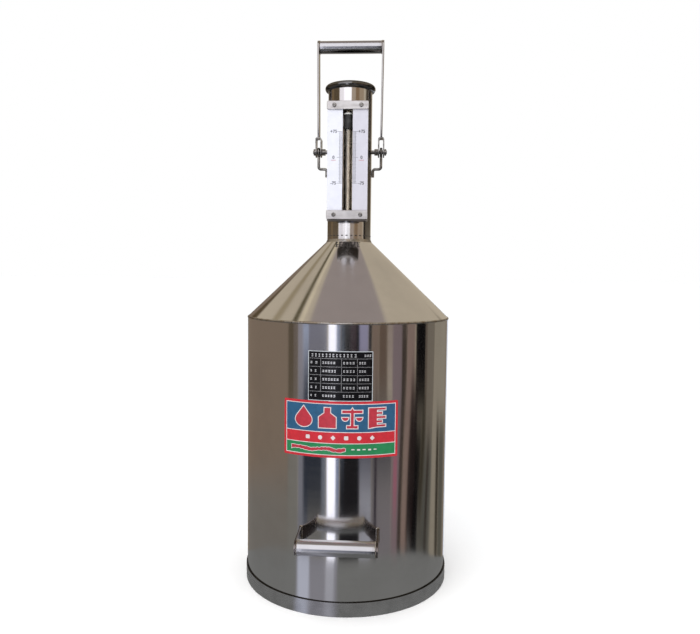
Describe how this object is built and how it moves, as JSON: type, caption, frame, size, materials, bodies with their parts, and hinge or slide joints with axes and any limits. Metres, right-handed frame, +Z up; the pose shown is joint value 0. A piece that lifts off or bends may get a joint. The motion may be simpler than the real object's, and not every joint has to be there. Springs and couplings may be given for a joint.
{
  "type": "volumetric measuring can",
  "caption": "Polished steel measuring can with a conical shoulder, narrow graduated neck with a sight gauge, folding bail and fixed lower handle.",
  "frame": {"origin": "on the can's axis, at the plane that it stands on, in the middle of the foot ring's opening", "axes": "+Z up along the can's axis; -Y is the front, with the gauge, labels and lower handle; +X is to the right of a person who faces the gauge"},
  "size_m": [0.267, 0.3085, 0.7035],
  "materials": {
    "polished_steel": "bright polished stainless steel",
    "satin_steel": "satin stainless steel",
    "dark_steel": "dark, glossy rolled rim",
    "weld_steel": "dressed weld",
    "fastener_steel": "plain bright steel, slightly dull",
    "sight_glass": "clear glass",
    "seal_rubber": "matt black",
    "scale_white": "smooth white enamel with printed marks",
    "nameplate_black": "black etched plate with bright lines",
    "label_film": "printed gloss film"
  },
  "bodies": {
    "vessel": {"foot_ring": "satin_steel", "foot_flange": "satin_steel", "body_shell": "polished_steel", "floor_disc": "satin_steel", "shoulder_cone": "polished_steel", "shoulder_weld": "weld_steel", "neck_weld": "weld_steel", "neck_tube": "polished_steel", "neck_rim": "dark_steel", "gauge_channel": "satin_steel", "gauge_saddles": "satin_steel", "level_port": "satin_steel", "lower_block": "satin_steel", "upper_block": "satin_steel", "glass_tube": "sight_glass", "foot_gasket": "seal_rubber", "upper_sleeve": "seal_rubber", "glass_clip": "satin_steel", "scale_plate_left": "scale_white", "scale_plate_right": "scale_white", "lower_clamp_bar": "satin_steel", "upper_clamp_bar": "satin_steel", "clamp_screws": "fastener_steel", "pivot_stud_left": "fastener_steel", "pivot_stud_right": "fastener_steel", "spacer_nuts": "fastener_steel", "lock_nuts": "fastener_steel", "support_wire_left": "fastener_steel", "support_wire_right": "fastener_steel", "lower_handle_bracket": "polished_steel", "lower_handle_grip": "polished_steel", "nameplate": "nameplate_black", "front_label": "label_film"},
    "bail": {"bail_leg_left": "polished_steel", "bail_leg_right": "polished_steel", "bail_grip": "polished_steel", "bail_clevis_left": "fastener_steel", "bail_clevis_right": "fastener_steel"}
  },
  "joints": [
    {"name": "bail_swing", "type": "hinge", "parent": "vessel", "child": "bail", "pos_m": [0, 0, 0.5603], "axis": [1, 0, 0], "range_deg": [-150, 150]}
  ]
}
